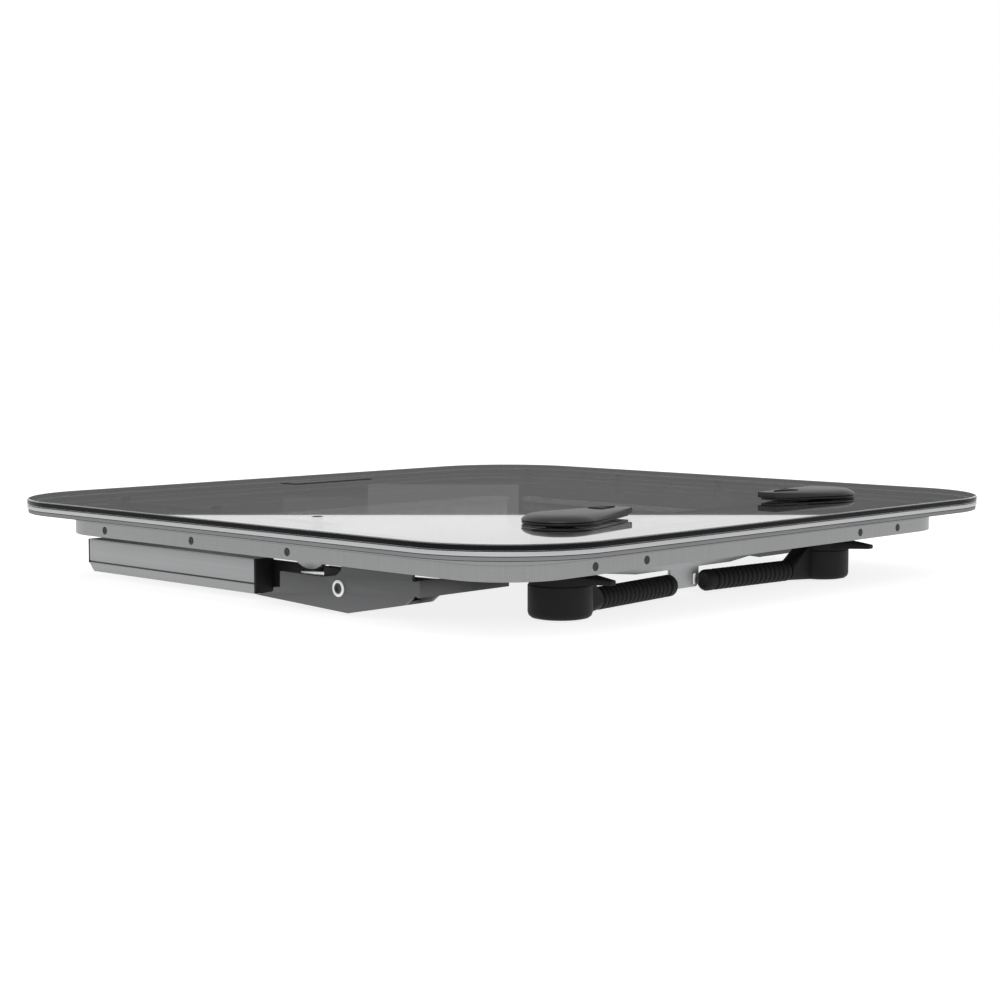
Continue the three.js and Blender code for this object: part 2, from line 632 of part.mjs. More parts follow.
// The ribbed rubber grip over the lever's core.
function leverGrip(side, word) {
  const ribs = 16;
  const pitch = 5.55;
  const groove = 1.3;
  const end = LEVER.end - LEVER.neckEnd - GAP;
  const points = [[LEVER.core + TURN_GAP, 0], [LEVER.radius - groove, 0]];
  for (let i = 0; i < ribs; i++) {
    const from = 2 + i * pitch;
    points.push([LEVER.radius - groove, from]);
    points.push([LEVER.radius, from + 1]);
    points.push([LEVER.radius, from + pitch - 2]);
    points.push([LEVER.radius - groove, from + pitch - 1]);
  }
  points.push([LEVER.radius - groove, end - 6]);
  points.push([LEVER.radius, end - 5]);
  points.push([LEVER.radius, end - 2.5]);
  points.push([LEVER.radius - 2.5, end]);
  points.push([0, end]);
  points.push([0, end - 7]);
  points.push([LEVER.core + TURN_GAP, end - 7]);
  points.push(points[0]);
  const geometry = new THREE.LatheGeometry(
    points.map(([r, along]) => new THREE.Vector2(r, along)),
    GRIP_STEPS,
  );
  geometry.rotateZ(-Math.PI / 2);
  geometry.translate(LEVER.neckEnd + GAP, 0, LEVER.z);
  place(`lever_grip_${word}`, atRest(geometry, side), "rubber");
}

deckFrame();
seals();
skirtScrews();
pane();
badge();
lockBridge();
for (const [side, word] of [[-1, "left"], [1, "right"]]) {
  striker(side, word);
  mountRail(side, word);
  hingeBracket(side, word);
  pivotParts(side, word);
  restParts(side, word);
  armBox(side, word);
  armEnds(side, word);
  armRoot(side, word);
  lidHingePin(side, word);
  lidRail(side, word);
  lidStuds(side, word);
  handleBush(side, word);
  outerHandle(side, word);
  spindle(side, word);
  innerHandle(side, word);
  leverGrip(side, word);
}

export default hatch;
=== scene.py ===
"""A low-profile deck hatch: smoked lid, brushed deck frame, lifting hinge arms and latch handles."""

from math import cos, hypot, pi, radians, sin

import bmesh
import bpy
from bpy.props import FloatProperty, FloatVectorProperty, PointerProperty
from mathutils import Euler, Matrix, Vector


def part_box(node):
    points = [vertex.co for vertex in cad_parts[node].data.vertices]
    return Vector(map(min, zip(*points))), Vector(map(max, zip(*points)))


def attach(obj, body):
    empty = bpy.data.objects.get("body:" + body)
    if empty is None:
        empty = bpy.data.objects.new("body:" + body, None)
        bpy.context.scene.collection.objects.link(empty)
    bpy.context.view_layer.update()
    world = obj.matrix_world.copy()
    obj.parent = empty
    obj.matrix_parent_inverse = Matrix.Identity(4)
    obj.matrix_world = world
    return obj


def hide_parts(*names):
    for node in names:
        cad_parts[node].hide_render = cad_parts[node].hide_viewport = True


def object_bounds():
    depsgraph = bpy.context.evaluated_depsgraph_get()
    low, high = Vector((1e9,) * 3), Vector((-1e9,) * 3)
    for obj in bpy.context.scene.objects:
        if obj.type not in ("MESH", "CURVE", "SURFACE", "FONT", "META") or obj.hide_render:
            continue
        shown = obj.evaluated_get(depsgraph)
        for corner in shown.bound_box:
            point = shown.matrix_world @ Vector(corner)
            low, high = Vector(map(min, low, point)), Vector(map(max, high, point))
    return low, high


bl_info = {
    "name": "Deck hatch",
    "version": (1, 0, 0),
    "blender": (4, 5, 0),
    "location": "3D View > Sidebar > Hatch",
    "description": "Models and finishes a low-profile deck hatch on its packed frame",
    "category": "Object",
}

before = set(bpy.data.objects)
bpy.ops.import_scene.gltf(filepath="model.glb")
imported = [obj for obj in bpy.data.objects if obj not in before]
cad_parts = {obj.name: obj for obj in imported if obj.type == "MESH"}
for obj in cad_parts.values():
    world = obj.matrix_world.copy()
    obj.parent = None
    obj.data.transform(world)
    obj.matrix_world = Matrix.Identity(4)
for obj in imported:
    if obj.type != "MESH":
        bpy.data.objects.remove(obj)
CAD_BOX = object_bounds()

MM = 0.001
SIDES = ((-1, "left"), (1, "right"))
NOTHING = {"FINISHED"}

# The camera's heading and drop; the reflection cards stand square across the same line.
HEADING = radians(43.678)
DROP = radians(4.739)
CAMERA_PLACE = (-1.19224, -1.13069, 0.14304)
CAMERA_LENS = 69.05

# Driving sizes of the handles.
HUB_RADIUS = 23.75 * MM
OUTER_ROUND_RADIUS = 28.5 * MM
OUTER_TIP_REACH = 73 * MM

# Places that the frame's own parts give.
PANE_LOW, PANE_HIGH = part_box("acrylic_pane")
FRAME_LOW, FRAME_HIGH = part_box("deck_frame")
GASKET_LOW, GASKET_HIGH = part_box("deck_gasket")
HALF_WIDTH = PANE_HIGH.x
HALF_DEPTH = PANE_HIGH.y


# Modelling helpers.


def to_object_mode():
    if bpy.context.object and bpy.context.object.mode != "OBJECT":
        bpy.ops.object.mode_set(mode="OBJECT")


def clear_selection():
    to_object_mode()
    bpy.ops.object.select_all(action="DESELECT")


def activate(piece):
    clear_selection()
    piece.select_set(True)
    bpy.context.view_layer.objects.active = piece


def edit(piece):
    activate(piece)
    bpy.ops.object.mode_set(mode="EDIT")
    bpy.ops.mesh.select_mode(type="FACE")


def named(name):
    piece = bpy.context.object
    piece.name = name
    piece.data.name = name
    return piece


def pick_faces(piece, test):
    """Selects the faces whose middle and normal pass a test."""
    bpy.ops.mesh.select_mode(type="FACE")
    mesh = bmesh.from_edit_mesh(piece.data)
    for face in mesh.faces:
        face.select_set(bool(test(face.calc_center_median(), face.normal)))
    bmesh.update_edit_mesh(piece.data)


def pick_edges(piece, test):
    """Selects the edges whose two ends pass a test."""
    bpy.ops.mesh.select_mode(type="EDGE")
    mesh = bmesh.from_edit_mesh(piece.data)
    for part in (*mesh.faces, *mesh.edges, *mesh.verts):
        part.select_set(False)
    for edge in mesh.edges:
        if test(edge.verts[0].co, edge.verts[1].co):
            edge.select_set(True)
    bmesh.update_edit_mesh(piece.data)


def push(value):
    bpy.ops.mesh.extrude_region_move(TRANSFORM_OT_translate={"value": value})


def mend(piece):
    """Merges doubles and turns every face outwards."""
    edit(piece)
    bpy.ops.mesh.select_all(action="SELECT")
    bpy.ops.mesh.remove_doubles(threshold=1e-6)
    bpy.ops.mesh.normals_make_consistent(inside=False)
    to_object_mode()


def soften(piece, width, segments=2, angle=35):
    """Rounds the sharp edges."""
    activate(piece)
    bevel = piece.modifiers.new("edges", "BEVEL")
    bevel.width = width
    bevel.segments = segments
    bevel.limit_method = "ANGLE"
    bevel.angle_limit = radians(angle)
    bevel.harden_normals = False
    bevel.use_clamp_overlap = True
    bpy.ops.object.modifier_apply(modifier=bevel.name)


def settle(piece):
    activate(piece)
    bpy.ops.object.transform_apply(location=True, rotation=True, scale=True)


def finish_piece(piece, material, body, slot, *nodes, angle=35):
    settle(piece)
    bpy.ops.object.shade_smooth_by_angle(angle=radians(angle))
    piece.data.materials.clear()
    piece.data.materials.append(material)
    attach(piece, body)
    if nodes:
        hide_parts(*nodes)
    return piece


def joined(name, first, *others):
    """Joins pieces into one object."""
    activate(first)
    for other in others:
        other.select_set(True)
    bpy.ops.object.join()
    return named(name)


def inset_of(x, y, corner):
    """How far a point is inside the lid's rounded outline."""
    past_x = abs(x) - (HALF_WIDTH - corner)
    past_y = abs(y) - (HALF_DEPTH - corner)
    if past_x > 0 and past_y > 0:
        return corner - hypot(past_x, past_y)
    return min(HALF_WIDTH - abs(x), HALF_DEPTH - abs(y))


def rounded_plate(name, inset, z, corner, segments=28):
    """A flat rounded outline at one height, left in edit mode with its face selected."""
    clear_selection()
    bpy.ops.mesh.primitive_plane_add(size=1)
    piece = named(name)
    edit(piece)
    bpy.ops.mesh.select_all(action="SELECT")
    size = (2 * (HALF_WIDTH - inset), 2 * (HALF_DEPTH - inset), 1)
    bpy.ops.transform.resize(value=size)
    bpy.ops.transform.translate(value=(0, 0, z))
    bpy.ops.mesh.bevel(
        offset=corner - inset, affect="VERTICES", segments=segments, profile=0.5
    )
    bpy.ops.mesh.select_all(action="SELECT")
    return piece


def ring(name, outer, inner, bottom, top, corner):
    piece = rounded_plate(name, outer, bottom, corner)
    bpy.ops.mesh.inset(thickness=inner - outer, depth=0)
    bpy.ops.mesh.delete(type="ONLY_FACE")
    bpy.ops.mesh.select_all(action="SELECT")
    push((0, 0, top - bottom))
    mend(piece)
    return piece


def turned(name, profile, steps=40):
    """A profile of (radius, height) spun about +Z."""
    clear_selection()
    bpy.ops.mesh.primitive_plane_add(size=MM)
    piece = named(name)
    bpy.ops.object.mode_set(mode="EDIT")
    bpy.ops.mesh.select_mode(type="VERT")
    bpy.ops.mesh.select_all(action="SELECT")
    bpy.ops.mesh.merge(type="CENTER")
    bpy.ops.transform.translate(value=(profile[0][0], 0, profile[0][1]))
    for before, after in zip(profile, profile[1:]):
        push((after[0] - before[0], 0, after[1] - before[1]))
    bpy.ops.mesh.select_all(action="SELECT")
    bpy.ops.mesh.spin(steps=steps, angle=2 * pi, center=(0, 0, 0), axis=(0, 0, 1))
    bpy.ops.mesh.select_all(action="SELECT")
    bpy.ops.mesh.remove_doubles(threshold=1e-6)
    bpy.ops.mesh.normals_make_consistent(inside=False)
    to_object_mode()
    return piece


def stand(piece, place, turn=(0, 0, 0)):
    """Turns a piece and puts it in its place."""
    piece.rotation_euler = Euler(turn)
    piece.location = place
    settle(piece)
    return piece


def swing(piece, x, y, turn):
    """Turns a piece about an upright axis."""
    place = Matrix.Translation((x, y, 0))
    activate(piece)
    piece.matrix_world = place @ Matrix.Rotation(turn, 4, "Z") @ place.inverted()
    bpy.context.view_layer.update()
    settle(piece)
    return piece


def block(name, low, high):
    clear_selection()
    low, high = Vector(low), Vector(high)
    bpy.ops.mesh.primitive_cube_add(size=1, location=(low + high) / 2)
    piece = named(name)
    piece.scale = high - low
    settle(piece)
    return piece


def hull(name, *pieces):
    """The tight skin round several pieces."""
    piece = joined(name, *pieces)
    edit(piece)
    bpy.ops.mesh.select_all(action="SELECT")
    bpy.ops.mesh.convex_hull()
    bpy.ops.mesh.select_all(action="SELECT")
    bpy.ops.mesh.dissolve_limited(angle_limit=radians(1))
    bpy.ops.mesh.normals_make_consistent(inside=False)
    to_object_mode()
    return piece


def from_frame(node, width, segments=2):
    """A copy of one of the frame's nodes with its edges rounded."""
    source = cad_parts[node]
    piece = bpy.data.objects.new(node + "_skin", source.data.copy())
    bpy.context.scene.collection.objects.link(piece)
    edit(piece)
    bpy.ops.mesh.select_all(action="SELECT")
    bpy.ops.mesh.remove_doubles(threshold=1e-6)
    bpy.ops.mesh.dissolve_limited(angle_limit=radians(2))
    to_object_mode()
    soften(piece, width, segments, 30)
    return piece


# Shader helpers.


class Num:
    """A number that a shader works out, with the usual operators."""

    def __init__(self, shader, socket):
        self.shader = shader
        self.socket = socket

    def _with(self, operation, *others):
        inputs = [other.socket if isinstance(other, Num) else other for other in others]
        return self.shader.math(operation, self.socket, *inputs)

    def __add__(self, other):
        return self._with("ADD", other)

    def __mul__(self, other):
        return self._with("MULTIPLY", other)

    def __sub__(self, other):
        return self._with("SUBTRACT", other)

    def __truediv__(self, other):
        return self._with("DIVIDE", other)

    def __rsub__(self, other):
        return self.shader.math("SUBTRACT", other, self.socket)

    __radd__ = __add__
    __rmul__ = __mul__

    def above(self, edge):
        return self._with("GREATER_THAN", edge)

    def near(self, value, width):
        """1 within a width of a value, else 0."""
        return self._with("COMPARE", value, width)


class Shader:
    """One material, whose nodes come from a single method."""

    def __init__(self, name):
        self.material = bpy.data.materials.new(name)
        self.material.use_nodes = True
        self.tree = self.material.node_tree
        self.bsdf = self.tree.nodes["Principled BSDF"]
        coordinates = self.tree.nodes.new("ShaderNodeTexCoord")
        self.place = coordinates.outputs["Object"]

    def node(self, kind, settings=None, inputs=None):
        made = self.tree.nodes.new("ShaderNode" + kind)
        for key, value in (settings or {}).items():
            setattr(made, key, value)
        for key, value in (inputs or {}).items():
            value = value.socket if isinstance(value, Num) else value
            if isinstance(value, bpy.types.NodeSocket):
                self.tree.links.new(value, made.inputs[key])
            else:
                made.inputs[key].default_value = value
        return made

    def math(self, operation, *values):
        inputs = dict(enumerate(values))
        made = self.node("Math", {"operation": operation}, inputs)
        return Num(self, made.outputs[0])

    def clamp(self, value):
        made = self.node("Clamp", None, {"Value": value})
        return Num(self, made.outputs[0])

    def stretched(self, scale, turn=(0, 0, 0)):
        settings = {"Vector": self.place, "Scale": scale, "Rotation": turn}
        return self.node("Mapping", None, settings).outputs[0]

    def noise(self, scale, detail=3, vector=None, roughness=0.5):
        inputs = {
            "Vector": vector or self.place,
            "Scale": scale,
            "Detail": detail,
            "Roughness": roughness,
        }
        return Num(self, self.node("TexNoise", None, inputs).outputs["Fac"])

    def axis(self, letter):
        made = self.node("SeparateXYZ", None, {"Vector": self.place})
        return Num(self, made.outputs[letter])

    def blend(self, mask, first, second):
        """A colour that goes from the first to the second as the mask goes from 0 to 1."""
        made = self.node("Mix", {"data_type": "RGBA"}, {0: mask})
        for socket, colour in zip((made.inputs[6], made.inputs[7]), (first, second)):
            if isinstance(colour, bpy.types.NodeSocket):
                self.tree.links.new(colour, socket)
            else:
                socket.default_value = (*colour[:3], 1)
        return made.outputs[2]

    def bump(self, height, strength, distance):
        inputs = {"Height": height, "Strength": strength, "Distance": distance}
        return self.node("Bump", None, inputs).outputs["Normal"]

    def surface(self, **values):
        for key, value in values.items():
            socket = self.bsdf.inputs[key.replace("_", " ")]
            value = value.socket if isinstance(value, Num) else value
            if isinstance(value, bpy.types.NodeSocket):
                self.tree.links.new(value, socket)
            else:
                socket.default_value = value
        return self.material


def shade(colour, factor):
    return tuple(min(1, channel * factor) for channel in colour[:3])


def brushed_metal(name, colour, along=(6, 6, 900), roughness=0.34, drop=0.7):
    """Satin metal with a fine grain; below the flange it is darker as painted shade under the flange's
    overhang, with one dark line painted as the shade of a groove.
    """
    shader = Shader(name)
    grain = shader.noise(1, 4, shader.stretched(along), 0.6)
    upright = shader.noise(1, 3, shader.stretched((650, 650, 9)), 0.6)
    cloud = shader.noise(7, 2)
    height = shader.axis("Z")
    # Painted shade: the skirt below the flange gets a darker copy of the colour, for the shade under
    # the flange's overhang.
    skirt = 1 - height.above(2.5 * MM)
    # Painted shade: a thin dark line at -7.2 mm for the shade in a groove under the flange.
    line = height.near(-7.2 * MM, 0.25 * MM)
    light = shader.blend(grain, shade(colour, 0.86), shade(colour, 1.12))
    dark = shader.blend(grain, shade(colour, 0.84 * drop), shade(colour, 1.14 * drop))
    tone = shader.blend(skirt, light, dark)
    tone = shader.blend(skirt * upright * 0.45, tone, shade(colour, 0.42))
    tone = shader.blend(line * 0.35, tone, (0.05, 0.05, 0.052))
    tone = shader.blend(cloud * 0.12, tone, shade(colour, 0.4))
    return shader.surface(
        Base_Color=tone,
        Metallic=0.8,
        Roughness=grain * 0.16 + roughness,
        Normal=shader.bump(grain, 0.12, 0.1 * MM),
    )


def satin_metal(
    name, colour, along, roughness=0.36, metallic=0.85, grain_depth=0.1, lines=(), painted_shade_fade=None
):
    """Satin metal; lines are dark lines painted at given heights, and a fade, if given, lightens it
    downwards as a painted shade gradient.
    """
    shader = Shader(name)
    grain = shader.noise(1, 3, shader.stretched(along), 0.6)
    cloud = shader.noise(9, 2)
    tone = shader.blend(grain, shade(colour, 0.88), shade(colour, 1.1))
    tone = shader.blend(cloud * 0.2, tone, shade(colour, 0.6))
    height = shader.axis("Z")
    # Dark lines painted at given heights; on the arm they stand for groove shade.
    for level, width, strength in lines:
        line = height.near(level, width)
        tone = shader.blend(line * strength, tone, shade(colour, 0.05))
    if painted_shade_fade:
        # Painted shade: darker at the top, where the skirt shades it, and lighter towards the bottom,
        # where the floor lights it.
        top, bottom, lift = painted_shade_fade
        depth = shader.clamp((top - height) / (top - bottom))
        tone = shader.blend(depth, tone, shade(colour, lift))
    return shader.surface(
        Base_Color=tone,
        Metallic=metallic,
        Roughness=cloud * 0.12 + roughness,
        Normal=shader.bump(grain, grain_depth, 0.1 * MM),
    )


def moulded(name, colour, roughness=0.5, grain=900, depth=0.15, specular=0.25):
    """Moulded plastic or rubber with a fine grain."""
    shader = Shader(name)
    fine = shader.noise(grain, 3)
    cloud = shader.noise(14, 3)
    tone = shader.blend(cloud, shade(colour, 0.75), shade(colour, 1.3))
    return shader.surface(
        Base_Color=tone,
        Roughness=cloud * 0.14 + roughness,
        Specular_IOR_Level=specular,
        Normal=shader.bump(fine, depth, 0.08 * MM),
    )


def smoked_acrylic(name, colour, clear):
    """Polished smoked sheet, a little see-through, with faint haze and polishing swirls."""
    shader = Shader(name)
    haze = shader.noise(5, 3)
    swirl = shader.noise(60, 4)
    tone = shader.blend(haze, shade(colour, 0.8), shade(colour, 1.25))
    return shader.surface(
        Base_Color=tone,
        Roughness=swirl * 0.012 + 0.008,
        IOR=1.49,
        Coat_Weight=1.0,
        Coat_Roughness=0.01,
        Alpha=1 - clear,
    )


def acrylic_rim(name, colour):
    """The sheet's machined edge: black, with fine polishing lines along it."""
    shader = Shader(name)
    grain = shader.noise(1, 3, shader.stretched((8, 8, 1500)), 0.6)
    tone = shader.blend(grain, shade(colour, 0.1), shade(colour, 0.4))
    return shader.surface(
        Base_Color=tone,
        Roughness=grain * 0.1 + 0.25,
        Specular_IOR_Level=0.06,
        Normal=shader.bump(grain, 0.05, 0.05 * MM),
    )


def gasket_rubber(name, colour):
    """Closed-cell grey rubber with a painted shade line where it meets its neighbours, for the shade in
    the crevices there.
    """
    shader = Shader(name)
    cells = shader.noise(1400, 2)
    cloud = shader.noise(20, 3)
    height = shader.axis("Z")
    # Painted shade: near-black bands at the top and foot for the crevices between the gasket and its
    # neighbours.
    top_crevice_shade = height.above(GASKET_HIGH.z - 0.45 * MM)
    foot_crevice_shade = 1 - height.above(GASKET_LOW.z + 0.45 * MM)
    tone = shader.blend(cloud, shade(colour, 0.85), shade(colour, 1.15))
    tone = shader.blend(shader.clamp(top_crevice_shade + foot_crevice_shade), tone, (0.012, 0.012, 0.013))
    return shader.surface(
        Base_Color=tone,
        Roughness=cells * 0.1 + 0.78,
        Specular_IOR_Level=0.2,
        Normal=shader.bump(cells, 0.3, 0.05 * MM),
    )


# What a user may change.


class HatchSizes(bpy.types.PropertyGroup):
    corner: FloatProperty(
        name="Lid corner radius",
        description="Radius of the lid's rounded corners",
        default=92 * MM,
        unit="LENGTH",
    )
    lid_edge: FloatProperty(
        name="Lid edge bevel",
        description="Width of the polished bevel round the lid's top",
        default=1.5 * MM,
        unit="LENGTH",
    )
    rebate: FloatProperty(
        name="Rebate width",
        description="Inset of the rebate that takes the lid's seal",
        default=36.5 * MM,
        unit="LENGTH",
    )
    skirt: FloatProperty(
        name="Skirt inset",
        description="Inset of the skirt's outer face from the lid's edge",
        default=39.5 * MM,
        unit="LENGTH",
    )
    skirt_wall: FloatProperty(
        name="Skirt wall",
        description="Thickness of the skirt",
        default=5 * MM,
        unit="LENGTH",
    )
    rib_pitch: FloatProperty(
        name="Grip rib pitch",
        description="Distance between two ribs of a lever's grip",
        default=5.55 * MM,
        unit="LENGTH",
    )
    lever_length: FloatProperty(
        name="Lever length",
        description="Distance from the spindle's axis to the lever's end",
        default=144.5 * MM,
        unit="LENGTH",
    )
    grip_start: FloatProperty(
        name="Grip start",
        description="Distance from the spindle's axis to the start of the grip",
        default=44 * MM,
        unit="LENGTH",
    )
    lever_height: FloatProperty(
        name="Lever height",
        description="Height of the lever's axis",
        default=-47.6 * MM,
        unit="LENGTH",
    )
    lever_rest: FloatProperty(
        name="Lever rest angle",
        description="Turn of the levers from the hinge line when closed",
        default=radians(5.3),
        unit="ROTATION",
    )
    outer_rest: FloatProperty(
        name="Outer handle rest angle",
        description="Turn of the outer handles from the hinge line when closed",
        default=radians(2.6),
        unit="ROTATION",
    )


class HatchColours(bpy.types.PropertyGroup):
    metal: FloatVectorProperty(
        name="Deck frame",
        description="Colour of the brushed deck frame",
        subtype="COLOR",
        default=(0.43, 0.434, 0.438),
    )
    arm: FloatVectorProperty(
        name="Arms",
        description="Colour of the arms' anodised extrusions",
        subtype="COLOR",
        default=(0.34, 0.343, 0.347),
    )
    bracket: FloatVectorProperty(
        name="Brackets",
        description="Colour of the hinge brackets",
        subtype="COLOR",
        default=(0.08, 0.081, 0.083),
    )
    acrylic: FloatVectorProperty(
        name="Lid",
        description="Tint of the smoked lid",
        subtype="COLOR",
        default=(0.02, 0.022, 0.024),
    )
    clear: FloatProperty(
        name="Lid clearness",
        description="How much of what is under the lid shows through it",
        subtype="FACTOR",
        min=0,
        max=1,
        default=0.16,
    )
    gasket: FloatVectorProperty(
        name="Gasket",
        description="Colour of the deck gasket",
        subtype="COLOR",
        default=(0.17, 0.17, 0.175),
    )
    plastic: FloatVectorProperty(
        name="Handles",
        description="Colour of the moulded handles",
        subtype="COLOR",
        default=(0.008, 0.008, 0.009),
    )


def sizes():
    return bpy.context.scene.hatch_sizes


def colours():
    return bpy.context.scene.hatch_colours


MATERIALS = {}


# Pieces.


class HATCH_OT_finishes(bpy.types.Operator):
    """Makes the materials"""

    bl_idname = "hatch.finishes"
    bl_label = "Finishes"

    def execute(self, context):
        hue = colours()
        steel = (0.62, 0.625, 0.63)
        MATERIALS.update(
            frame=brushed_metal("brushed_frame", hue.metal),
            gasket=gasket_rubber("deck_gasket", hue.gasket),
            acrylic=smoked_acrylic("smoked_acrylic", hue.acrylic, hue.clear),
            rim=acrylic_rim("acrylic_rim", hue.acrylic),
            rubber=moulded("black_rubber", (0.012, 0.012, 0.013), 0.6, 1200, 0.25, 0.2),
            plastic=moulded("black_plastic", hue.plastic, 0.5, 1100, 0.2, 0.18),
            gloss=moulded("gloss_black", shade(hue.plastic, 0.9), 0.3, 500, 0.06, 0.4),
            arm=satin_metal(
                "arm_aluminium",
                hue.arm,
                (900, 4, 900),
                0.38,
                # Painted shade: the dark line at -42.4 mm stands for the shade in the extrusion's
                # groove; the one at -24.2 mm is a fainter dark line.
                lines=((-42.4 * MM, 0.55 * MM, 0.85), (-24.2 * MM, 0.2 * MM, 0.4)),
            ),
            screw=moulded("dark_screw", (0.055, 0.056, 0.058), 0.5, 900, 0.08, 0.1),
            aluminium=satin_metal("satin_aluminium", (0.4, 0.405, 0.41), (5, 5, 700)),
            steel=satin_metal("stainless", steel, (300, 300, 300), 0.22, 1.0, 0.04),
            bracket=satin_metal(
                "dark_bracket",
                hue.bracket,
                (5, 5, 400),
                0.42,
                0.5,
                # Painted shade: darker near the top under the skirt, lighter towards the bottom where
                # the floor lights it.
                painted_shade_fade=(-24 * MM, -52 * MM, 1.5),
            ),
            nylon=moulded("white_nylon", (0.8, 0.8, 0.79), 0.4, 600, 0.05, 0.5),
        )
        return NOTHING


class HATCH_OT_deck_frame(bpy.types.Operator):
    """The flange ring and the skirt below it"""

    bl_idname = "hatch.deck_frame"
    bl_label = "Deck frame"

    def execute(self, context):
        size = sizes()
        floor = GASKET_HIGH.z + 1 * MM
        piece = rounded_plate("deck_frame_body", 0, GASKET_HIGH.z, size.corner)
        bpy.ops.mesh.inset(thickness=size.rebate, depth=0)
        bpy.ops.mesh.inset(thickness=size.skirt - size.rebate, depth=0)
        bpy.ops.mesh.inset(thickness=size.skirt_wall, depth=0)
        bpy.ops.mesh.delete(type="ONLY_FACE")
        bpy.ops.mesh.select_all(action="SELECT")
        push((0, 0, floor - GASKET_HIGH.z))
        bpy.ops.mesh.select_all(action="SELECT")
        bpy.ops.mesh.normals_make_consistent(inside=False)

        def is_flange(middle, normal):
            inset = inset_of(middle.x, middle.y, size.corner)
            return normal.z > 0.9 and inset < size.rebate

        pick_faces(piece, is_flange)
        push((0, 0, FRAME_HIGH.z - floor))

        def is_skirt(middle, normal):
            inset = inset_of(middle.x, middle.y, size.corner)
            return normal.z < -0.9 and inset > size.skirt

        pick_faces(piece, is_skirt)
        push((0, 0, FRAME_LOW.z - GASKET_HIGH.z))
        mend(piece)
        soften(piece, 0.5 * MM, 3)
        finish_piece(piece, MATERIALS["frame"], "frame", "brushed_frame", "deck_frame")
        return NOTHING


class HATCH_OT_seals(bpy.types.Operator):
    """The deck gasket and the lid's seal"""

    bl_idname = "hatch.seals"
    bl_label = "Gasket and seal"

    def execute(self, context):
        size = sizes()
        outer = HALF_WIDTH - GASKET_HIGH.x
        inner = size.skirt - 0.1 * MM
        gasket = ring("deck_gasket_body", outer, inner, GASKET_LOW.z, GASKET_HIGH.z, size.corner)
        soften(gasket, 0.35 * MM, 2)
        finish_piece(gasket, MATERIALS["gasket"], "frame", "deck_gasket", "deck_gasket")
        low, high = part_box("lid_seal")
        outer = HALF_WIDTH - high.x
        seal = ring("lid_seal_body", outer, outer + 4.4 * MM, low.z, high.z, size.corner)
        soften(seal, 0.8 * MM, 3)
        finish_piece(seal, MATERIALS["rubber"], "lid", "black_rubber", "lid_seal")
        return NOTHING


class HATCH_OT_pane(bpy.types.Operator):
    """The smoked lid, with a polished bevel round its top edge"""

    bl_idname = "hatch.pane"
    bl_label = "Lid pane"

    def execute(self, context):
        size = sizes()
        piece = rounded_plate("acrylic_pane_body", 0, PANE_LOW.z, size.corner, 40)
        push((0, 0, PANE_HIGH.z - PANE_LOW.z))
        mend(piece)
        edit(piece)
        top = PANE_HIGH.z - 0.1 * MM
        pick_edges(piece, lambda a, b: a.z > top and b.z > top)
        bpy.ops.mesh.bevel(offset=size.lid_edge, segments=3, profile=0.5)
        bottom = PANE_LOW.z + 0.1 * MM
        pick_edges(piece, lambda a, b: a.z < bottom and b.z < bottom)
        bpy.ops.mesh.bevel(offset=0.6 * MM, segments=2, profile=0.5)
        mend(piece)
        finish_piece(piece, MATERIALS["acrylic"], "lid", "smoked_acrylic", "acrylic_pane", angle=20)
        piece.data.materials.append(MATERIALS["rim"])
        for face in piece.data.polygons:
            face.material_index = 1 if abs(face.normal.z) < 0.35 else 0
            face.use_smooth = abs(face.normal.z) < 0.999
        return NOTHING


def screw(name, radius, proud=0.25 * MM):
    """A screw's low head facing +Z; its shallow recess stays above the skirt's face at height 0."""
    r = radius
    profile = [
        (0, 0.05 * MM),
        (0.3 * r, 0.06 * MM),
        (0.42 * r, proud * 0.9),
        (0.86 * r, proud),
        (r, 0),
        (r * 0.9, -1.1 * MM),
        (0, -1.2 * MM),
    ]
    return turned(name, profile, 28)


class HATCH_OT_screws(bpy.types.Operator):
    """The skirt's countersunk screws"""

    bl_idname = "hatch.screws"
    bl_label = "Skirt screws"

    def execute(self, context):
        for side, word in SIDES:
            for number in (1, 2, 3):
                node = f"side_screw_{word}_{number}"
                low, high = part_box(node)
                face = low.x if side < 0 else high.x
                place = (face, (low.y + high.y) / 2, (low.z + high.z) / 2)
                piece = screw(node + "_head", (high.z - low.z) / 2)
                stand(piece, place, (0, side * pi / 2, 0))
                finish_piece(piece, MATERIALS["screw"], "frame", "stainless", node)
            for number in (1, 2):
                node = f"striker_screw_{word}_{number}"
                low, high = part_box(node)
                place = ((low.x + high.x) / 2, low.y, (low.z + high.z) / 2)
                piece = screw(node + "_head", (high.z - low.z) / 2)
                stand(piece, place, (pi / 2, 0, 0))
                finish_piece(piece, MATERIALS["screw"], "frame", "stainless", node)
        return NOTHING


class HATCH_OT_studs(bpy.types.Operator):
    """The flush plugs over the lid's rail studs"""

    bl_idname = "hatch.studs"
    bl_label = "Lid studs"

    def execute(self, context):
        for _, word in SIDES:
            for number in (1, 2, 3):
                node = f"lid_stud_{word}_{number}"
                low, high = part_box(node)
                r = (high.x - low.x) / 2
                profile = [
                    (0, 0.35 * MM),
                    (0.55 * r, 0.32 * MM),
                    (0.86 * r, 0.15 * MM),
                    (r, 0),
                    (r, -2.5 * MM),
                    (0.6 * r, -2.6 * MM),
                    (0.55 * r, -11 * MM),
                    (0, -11.2 * MM),
                ]
                piece = turned(node + "_plug", profile, 28)
                middle = (low + high) / 2
                stand(piece, (middle.x, middle.y, high.z))
                finish_piece(piece, MATERIALS["plastic"], "lid", "gloss_black", node)
        return NOTHING


